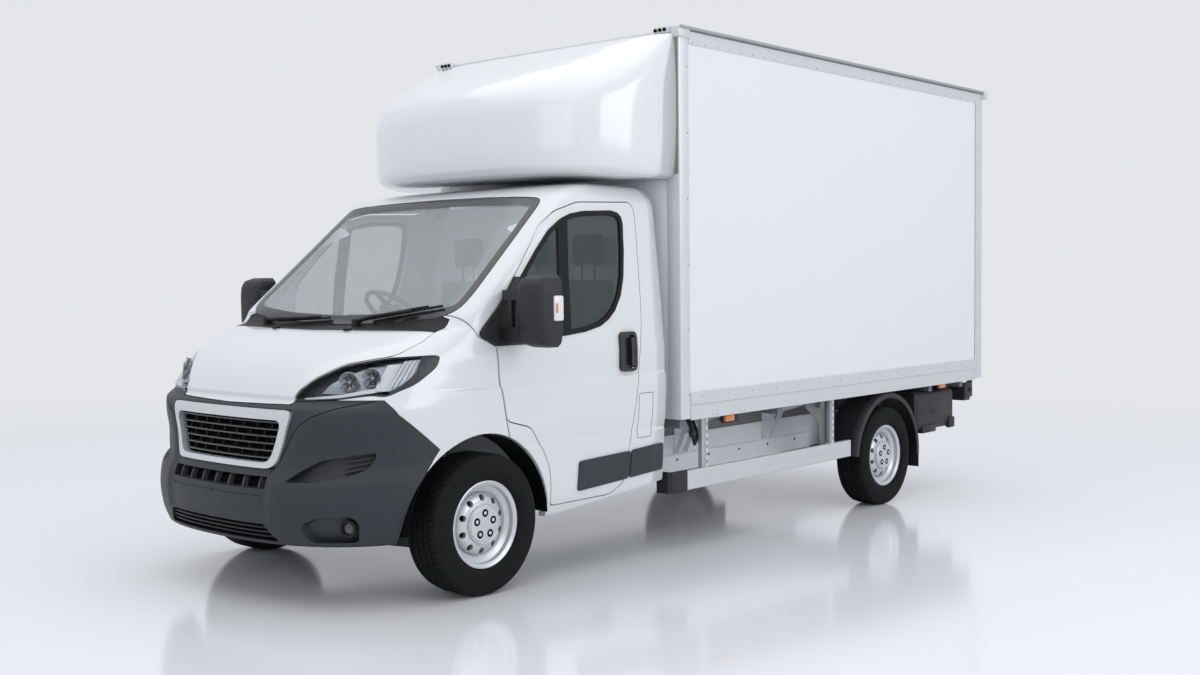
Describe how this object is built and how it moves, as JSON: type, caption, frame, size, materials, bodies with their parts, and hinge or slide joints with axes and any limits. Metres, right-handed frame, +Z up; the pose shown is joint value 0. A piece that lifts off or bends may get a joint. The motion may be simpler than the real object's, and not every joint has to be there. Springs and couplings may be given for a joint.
{
  "type": "box van",
  "caption": "Chassis cab with a tall box body, a rounded fairing over the cab, a roller shutter, a folding column tail lift and steered front wheels.",
  "frame": {"origin": "middle of the bounding box's underside, on the ground under the van", "axes": "the cab faces -Y, the vehicle's left is +X and +Z is up"},
  "size_m": [2.62, 6.5198, 3.1625],
  "materials": {
    "white_paint": "gloss white paint",
    "white_panel": "white faced composite panel",
    "slate_plastic": "grained slate plastic",
    "black_plastic": "grained black plastic",
    "bright_steel": "silver painted steel",
    "bright_trim": "satin silver trim",
    "tyre_rubber": "black rubber",
    "clear_glass": "green tinted glass",
    "lamp_glass": "clear lamp cover",
    "mill_aluminium": "mill finish aluminium",
    "deck": "faced plywood deck with aluminium edge rails",
    "frame_steel": "grey coated steel",
    "black_steel": "black coated steel",
    "cast_steel": "bare cast metal",
    "engine_alloy": "cast alloy",
    "seat_cloth": "dark cloth"
  },
  "bodies": {
    "chassis": {"body_subframe": "black_steel", "box_floor": "deck", "box_front": "white_panel", "box_rear_frame": "mill_aluminium", "box_roof": "white_panel", "box_side_left": "white_panel", "box_side_right": "white_panel", "cab_floor": "white_paint", "cab_roof": "white_paint", "cab_side_left": "white_paint", "cab_side_right": "white_paint", "chassis_frame": "frame_steel", "dashboard": "slate_plastic", "engine_block": "engine_alloy", "exhaust": "bright_steel", "fairing": "white_panel", "front_bumper": "slate_plastic", "front_subframe": "black_steel", "fuel_tank": "black_plastic", "grille": "bright_trim", "headlamp_left": "lamp_glass", "headlamp_right": "lamp_glass", "mudguard_left": "black_plastic", "mudguard_right": "black_plastic", "power_pack": "black_plastic", "rear_axle": "black_steel", "rear_beam": "black_steel", "roller_shutter": "mill_aluminium", "scuttle": "black_plastic", "seat_driver": "seat_cloth", "seat_passenger": "seat_cloth", "side_guard_left": "mill_aluminium", "side_guard_right": "mill_aluminium", "windscreen": "clear_glass", "wing_left": "white_paint", "wing_right": "white_paint"},
    "door_left": {"door_left": "white_paint", "door_glass_left": "clear_glass", "mirror_left": "black_plastic"},
    "door_right": {"door_right": "white_paint", "door_glass_right": "clear_glass", "mirror_right": "black_plastic"},
    "bonnet": {"bonnet": "white_paint"},
    "steering_wheel": {"steering_wheel": "black_plastic"},
    "knuckle_left": {"knuckle_left": "cast_steel"},
    "knuckle_right": {"knuckle_right": "cast_steel"},
    "wheel_front_left": {"wheel_front_left": "bright_steel", "tyre_front_left": "tyre_rubber"},
    "wheel_front_right": {"wheel_front_right": "bright_steel", "tyre_front_right": "tyre_rubber"},
    "wheel_rear_left": {"wheel_rear_left": "bright_steel", "tyre_rear_left": "tyre_rubber"},
    "wheel_rear_right": {"wheel_rear_right": "bright_steel", "tyre_rear_right": "tyre_rubber"},
    "lift_carriage": {"lift_carriage": "frame_steel"},
    "lift_platform": {"lift_platform": "mill_aluminium"}
  },
  "joints": [
    {"name": "steer_left", "type": "hinge", "parent": "chassis", "child": "knuckle_left", "pos_m": [0.74, -2.30358, 0.361], "axis": [0, -0.0209, 0.9998], "range_deg": [-33, 33]},
    {"name": "steer_right", "type": "hinge", "parent": "chassis", "child": "knuckle_right", "pos_m": [-0.74, -2.30358, 0.361], "axis": [0, -0.0209, 0.9998], "range_deg": [-33, 33]},
    {"name": "steering_wheel_turn", "type": "hinge", "parent": "chassis", "child": "steering_wheel", "pos_m": [-0.42, -1.71304, 1.41268], "axis": [0, 0.6266, 0.7793], "range_deg": [-470, 470]},
    {"name": "spin_front_left", "type": "hinge", "parent": "knuckle_left", "child": "wheel_front_left", "pos_m": [0.905, -2.30358, 0.361], "axis": [1, 0, 0], "continuous": true},
    {"name": "spin_front_right", "type": "hinge", "parent": "knuckle_right", "child": "wheel_front_right", "pos_m": [-0.905, -2.30358, 0.361], "axis": [1, 0, 0], "continuous": true},
    {"name": "spin_rear_left", "type": "hinge", "parent": "chassis", "child": "wheel_rear_left", "pos_m": [0.895, 1.73142, 0.361], "axis": [1, 0, 0], "continuous": true},
    {"name": "spin_rear_right", "type": "hinge", "parent": "chassis", "child": "wheel_rear_right", "pos_m": [-0.895, 1.73142, 0.361], "axis": [1, 0, 0], "continuous": true},
    {"name": "door_left_hinge", "type": "hinge", "parent": "chassis", "child": "door_left", "pos_m": [1.022, -2.35007, 1.30866], "axis": [0.0262, 0.0209, -0.9994], "range_deg": [0, 70]},
    {"name": "door_right_hinge", "type": "hinge", "parent": "chassis", "child": "door_right", "pos_m": [-1.022, -2.35007, 1.30866], "axis": [0.0262, -0.0209, 0.9994], "range_deg": [0, 70]},
    {"name": "bonnet_hinge", "type": "hinge", "parent": "chassis", "child": "bonnet", "pos_m": [0, -2.53369, 1.41564], "axis": [-1, 0, 0], "range_deg": [0, 50]},
    {"name": "lift_slide", "type": "slide", "parent": "chassis", "child": "lift_carriage", "axis": [0, 0.0209, -0.9998], "range_m": [0, 0.86]},
    {"name": "platform_fold", "type": "hinge", "parent": "lift_carriage", "child": "lift_platform", "pos_m": [0, 3.2235, 0.92795], "axis": [-1, 0, 0], "range_deg": [0, 90]}
  ],
  "couplings": [
    {"joint": "steer_right", "follows": "steer_left", "ratio": 1},
    {"joint": "steering_wheel_turn", "follows": "steer_left", "ratio": 14}
  ]
}
